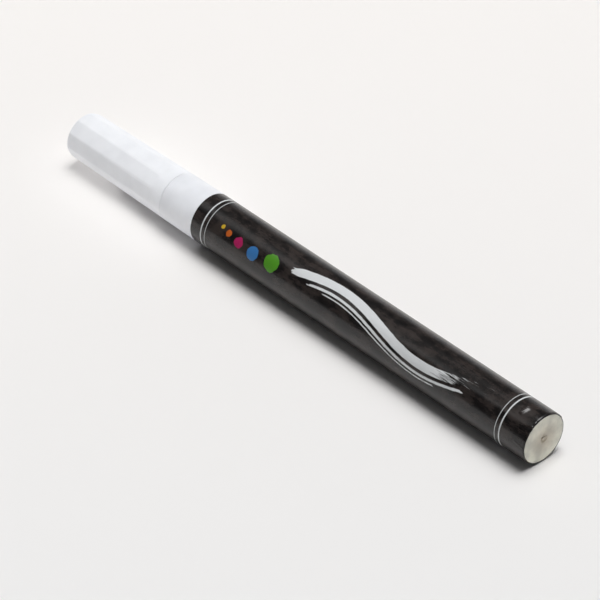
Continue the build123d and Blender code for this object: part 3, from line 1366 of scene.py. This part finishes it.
def hang(light: bpy.types.Light, place: Vector, toward: Vector) -> bpy.types.Object:
    """Put a light in the scene.

    Args:
        light: The light.
        place: Where it hangs, in metres.
        toward: The place that it faces.

    Returns:
        The lamp.
    """
    lamp = bpy.data.objects.new(light.name, light)
    lamp.location = place
    lamp.visible_camera = False
    lamp.rotation_mode = "QUATERNION"
    lamp.rotation_quaternion = (toward - place).to_track_quat("-Z", "Y")
    bpy.context.scene.collection.objects.link(lamp)
    return lamp


@dataclass(frozen=True)
class Studio:
    """Pale floor with a painted fall-off of light, dim room with pale walls, soft lights and the camera."""

    azimuth: float = radians(47.08)
    elevation: float = radians(38.39)
    distance: float = 843.9
    target: tuple[float, float, float] = (4.449, -5.14, 5.75)
    lens: float = 248.34
    sensor: float = 36.0
    floor_side: float = 40000.0
    floor_cells: int = 2
    floor_roughness: float = 0.9
    floor_gloss: float = 0.2
    floor_near_painted_shade: Colour = (0.86, 0.855, 0.85)
    floor_far_painted_light: Colour = (0.97, 0.94, 0.915)
    floor_light_fade: float = 170.0
    room: Colour = (0.030, 0.031, 0.033)
    wall: Colour = (0.76, 0.76, 0.76)
    wall_top: Limits = (0.05, 0.45)
    wall_front: Limits = (-0.80, -0.40)
    lights: tuple[Sun | Panel, ...] = (
        Sun("key_light", radians(8), radians(30), 1.05),
        Sun("soaking_light", radians(8), radians(30), 0.67, soaks=True),
        Sun("broad_light", radians(15), radians(55), 1.08),
        Panel("side_panel", (-575.0, -220.0, 772.0), (-15.0, 0.0, 0.0), 660.0, 130.0, 1.42),
        Panel("front_card", (160.0, -620.0, 76.0), (0.0, 0.0, 6.0), 520.0, 150.0, 2.6, whites_only=True),
    )

    def floor(self) -> None:
        """Lay the floor: a square of quads at height 0, whose colour pales away from the camera as a painted
        fall-off of the light.
        """
        cells = self.floor_cells
        edge = np.linspace(-0.5, 0.5, cells + 1) * self.floor_side * MM
        x, y = np.meshgrid(edge, edge, indexing="ij")
        points = np.stack([x, y, np.zeros_like(x)], axis=-1).reshape(-1, 3)
        corner = (np.arange(cells)[:, None] * (cells + 1) + np.arange(cells)).ravel()
        faces = np.stack([corner, corner + cells + 1, corner + cells + 2, corner + 1], axis=-1)
        mesh = bpy.data.meshes.new("floor_sheet")
        mesh.from_pydata(points.tolist(), [], faces.tolist())
        shader = Shader.of_finish("floor_paper")
        x_place, y_place, _ = shader.split(shader.place())
        # Painted light: the floor is painted darker near the camera and paler away from it, standing in for
        # the light's fall-off.
        away = x_place * -sin(self.azimuth) + y_place * cos(self.azimuth)
        distance = away.rise(-self.floor_light_fade, self.floor_light_fade)
        shader.set(base_color=shader.mix(distance, self.floor_near_painted_shade, self.floor_far_painted_light))
        shader.set(roughness=self.floor_roughness, specular_ior_level=self.floor_gloss)
        mesh.materials.append(shader.owner)
        sheet = bpy.data.objects.new("floor_sheet", mesh)
        bpy.context.scene.collection.objects.link(sheet)

    def sky(self) -> None:
        """Make the room, whose walls fade out upwards and towards the front with the direction's Z and Y."""
        world = bpy.data.worlds.new("studio_room")
        room = Shader(world, "ShaderNodeBackground", "ShaderNodeOutputWorld")
        _, y, z = room.split(room.node("ShaderNodeTexCoord").outputs["Generated"])
        walls = z.rise(*self.wall_top[::-1]) * y.rise(*self.wall_front)
        room.set(color=room.mix(walls, self.room, self.wall))
        bpy.context.scene.world = world

    def camera(self) -> None:
        """Place the camera back from its target along the line of sight."""
        a, e = self.azimuth, self.elevation
        back = Vector((sin(a) * cos(e), -cos(a) * cos(e), sin(e)))
        data = bpy.data.cameras.new("photo_camera")
        data.lens = self.lens
        data.sensor_width = self.sensor
        camera = bpy.data.objects.new("photo_camera", data)
        camera.location = (Vector(self.target) + back * self.distance) * MM
        camera.rotation_mode = "QUATERNION"
        camera.rotation_quaternion = (-back).to_track_quat("-Z", "Y")
        bpy.context.scene.collection.objects.link(camera)
        bpy.context.scene.camera = camera

    def build(self) -> None:
        """Set up floor, light, camera and the plain view transform."""
        bpy.context.scene.view_settings.view_transform = "Standard"
        self.floor()
        self.sky()
        self.camera()
        for light in self.lights:
            light.build()


def main() -> None:
    """Build the marker's sub-assemblies in order, then the studio."""
    logging.basicConfig(level=logging.INFO, format="%(name)s: %(message)s")
    for assembly in (Cap(), FrontSection(), WritingTip(), ValveGear(), Barrel(), LabelSleeve()):
        for piece in assembly.build():
            faces = len(piece.data.polygons)
            LOG.info("%s made %s with %d faces", type(assembly).__name__, piece.name, faces)
    Studio().build()


if __name__ == "__main__":
    main()
